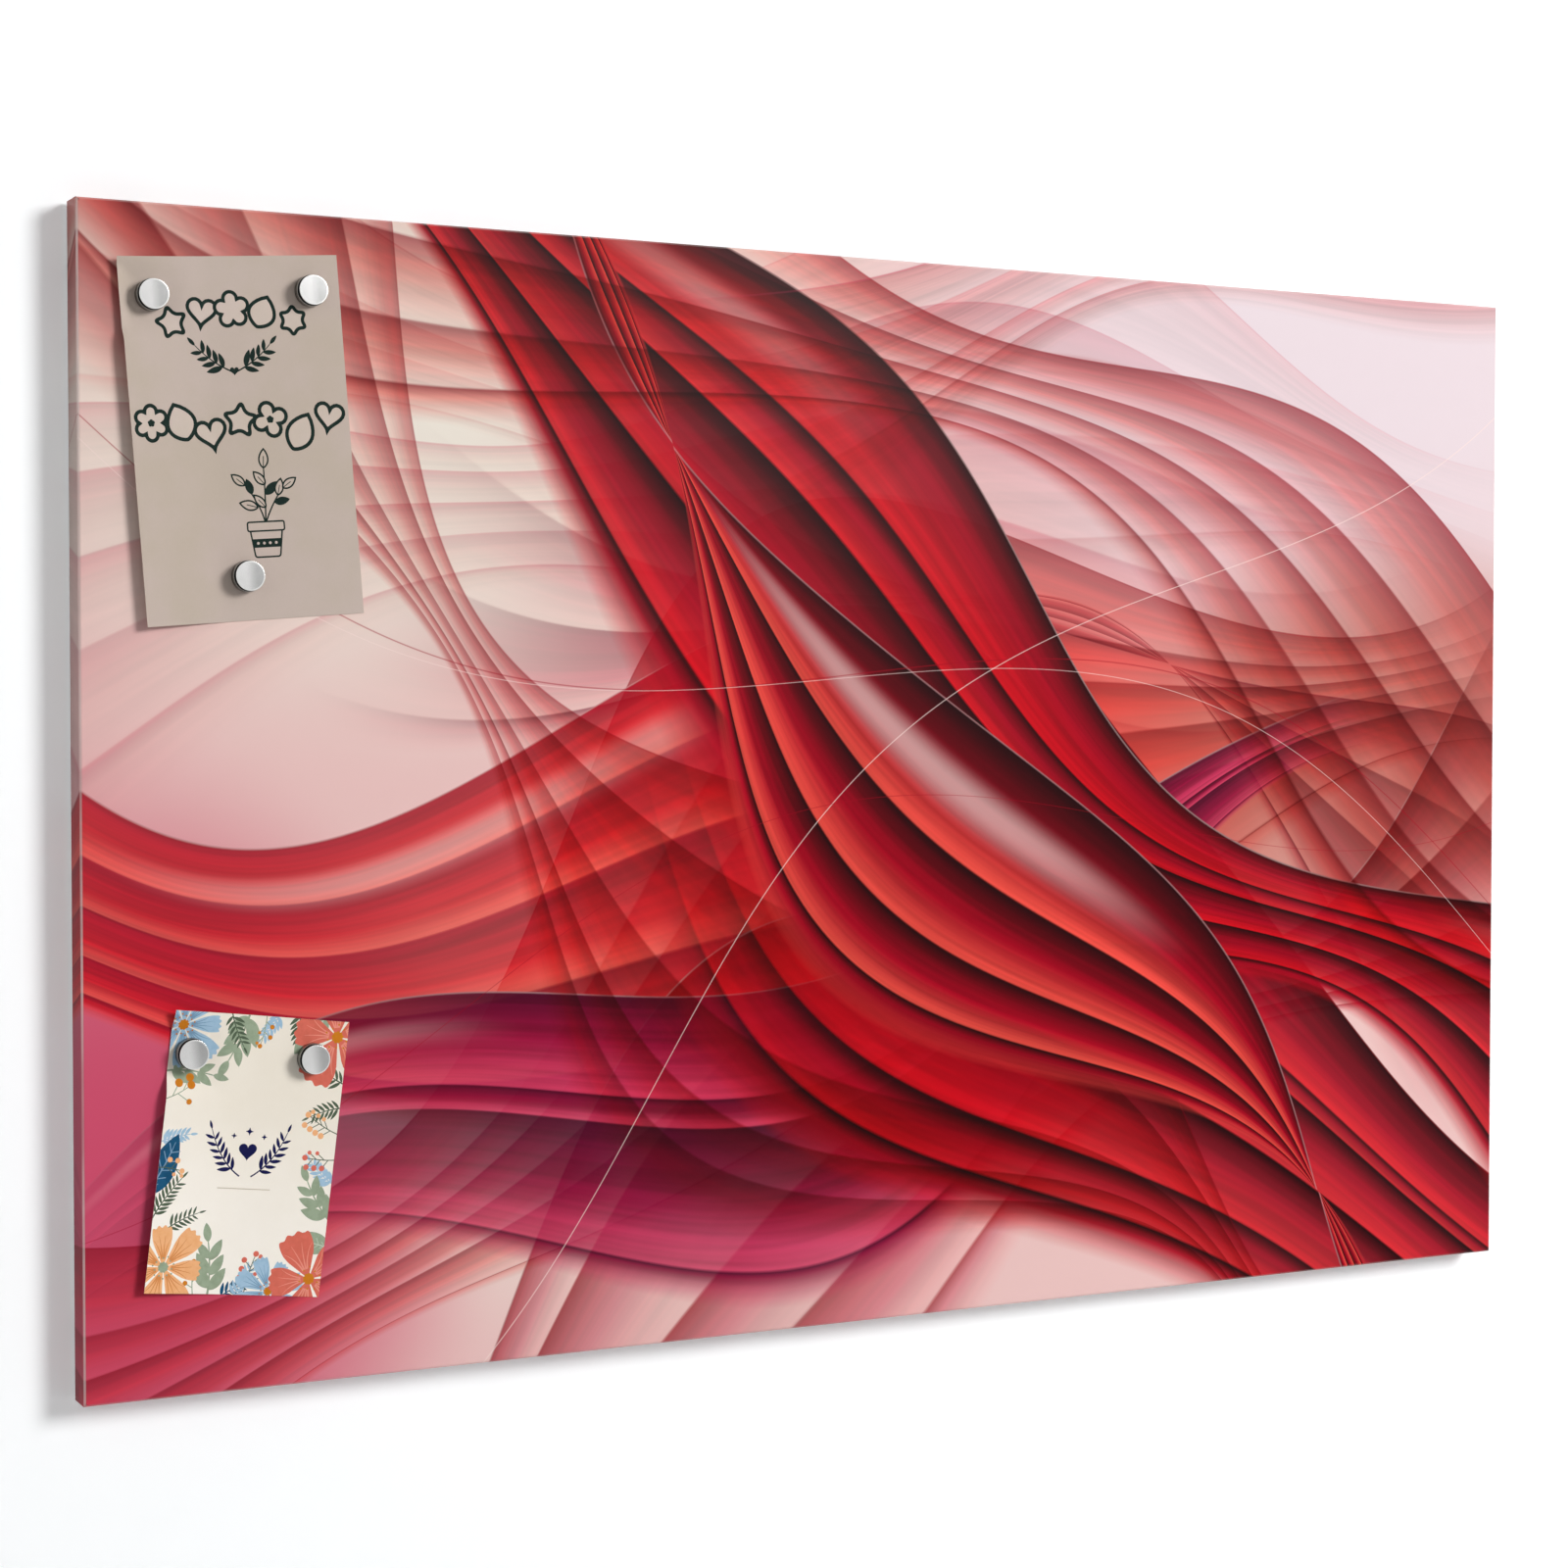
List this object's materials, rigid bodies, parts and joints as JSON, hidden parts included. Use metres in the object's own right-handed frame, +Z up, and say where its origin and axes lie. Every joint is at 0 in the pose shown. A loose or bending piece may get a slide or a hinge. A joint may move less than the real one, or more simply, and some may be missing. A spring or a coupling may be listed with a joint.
{
  "type": "magnetic board",
  "caption": "Shallow folded steel tray with a printed gloss front, hung flat on a wall by corner keyholes, with paper cards held on its face by disc magnets.",
  "frame": {"origin": "middle of the board on the wall plane that the rear pads touch", "axes": "+X to the right seen from the front, +Y into the wall, +Z up"},
  "size_m": [0.9, 0.0293, 0.6],
  "materials": {
    "printed_film": "printed gloss film",
    "tray_steel": "white powder coated sheet steel",
    "hanger_steel": "galvanised",
    "rivet_metal": "bright",
    "pad_rubber": "matt black",
    "mounting_tape": "white foam tape",
    "magnet_cap_steel": "satin turned steel with a bright rim",
    "magnet_core": "nickel plated magnet",
    "base_pad_rubber": "thin black pad",
    "taupe_paper": "uncoated taupe paper",
    "cream_card": "smooth cream card"
  },
  "bodies": {
    "board": {"steel_tray": "tray_steel", "print_film": "printed_film", "hanger_plate_top_left": "hanger_steel", "rivet_top_left_1": "rivet_metal", "rivet_top_left_2": "rivet_metal", "wall_pad_top_left": "pad_rubber", "hanger_plate_top_right": "hanger_steel", "rivet_top_right_1": "rivet_metal", "rivet_top_right_2": "rivet_metal", "wall_pad_top_right": "pad_rubber", "hanger_plate_bottom_right": "hanger_steel", "rivet_bottom_right_1": "rivet_metal", "rivet_bottom_right_2": "rivet_metal", "wall_pad_bottom_right": "pad_rubber", "hanger_plate_bottom_left": "hanger_steel", "rivet_bottom_left_1": "rivet_metal", "rivet_bottom_left_2": "rivet_metal", "wall_pad_bottom_left": "pad_rubber", "stiffener_rail_left": "hanger_steel", "rail_tape_left_outer": "mounting_tape", "rail_tape_left_inner": "mounting_tape", "stiffener_rail_right": "hanger_steel", "rail_tape_right_outer": "mounting_tape", "rail_tape_right_inner": "mounting_tape"},
    "tall_card": {"tall_card": "taupe_paper"},
    "tall_card_magnet_1": {"tall_card_magnet_1_cap": "magnet_cap_steel", "tall_card_magnet_1_core": "magnet_core", "tall_card_magnet_1_base_pad": "base_pad_rubber"},
    "tall_card_magnet_2": {"tall_card_magnet_2_cap": "magnet_cap_steel", "tall_card_magnet_2_core": "magnet_core", "tall_card_magnet_2_base_pad": "base_pad_rubber"},
    "tall_card_magnet_3": {"tall_card_magnet_3_cap": "magnet_cap_steel", "tall_card_magnet_3_core": "magnet_core", "tall_card_magnet_3_base_pad": "base_pad_rubber"},
    "small_card": {"small_card": "cream_card"},
    "small_card_magnet_1": {"small_card_magnet_1_cap": "magnet_cap_steel", "small_card_magnet_1_core": "magnet_core", "small_card_magnet_1_base_pad": "base_pad_rubber"},
    "small_card_magnet_2": {"small_card_magnet_2_cap": "magnet_cap_steel", "small_card_magnet_2_core": "magnet_core", "small_card_magnet_2_base_pad": "base_pad_rubber"}
  },
  "joints": [
    {"name": "tall_card_pull_off", "type": "slide", "parent": "board", "child": "tall_card", "axis": [0, -1, 0], "range_m": [0, 0.045]},
    {"name": "tall_card_magnet_1_pull_off", "type": "slide", "parent": "tall_card", "child": "tall_card_magnet_1", "axis": [0, -1, 0], "range_m": [0, 0.03]},
    {"name": "tall_card_magnet_2_pull_off", "type": "slide", "parent": "tall_card", "child": "tall_card_magnet_2", "axis": [0, -1, 0], "range_m": [0, 0.03]},
    {"name": "tall_card_magnet_3_pull_off", "type": "slide", "parent": "tall_card", "child": "tall_card_magnet_3", "axis": [0, -1, 0], "range_m": [0, 0.03]},
    {"name": "small_card_pull_off", "type": "slide", "parent": "board", "child": "small_card", "axis": [0, -1, 0], "range_m": [0, 0.045]},
    {"name": "small_card_magnet_1_pull_off", "type": "slide", "parent": "small_card", "child": "small_card_magnet_1", "axis": [0, -1, 0], "range_m": [0, 0.03]},
    {"name": "small_card_magnet_2_pull_off", "type": "slide", "parent": "small_card", "child": "small_card_magnet_2", "axis": [0, -1, 0], "range_m": [0, 0.03]}
  ]
}
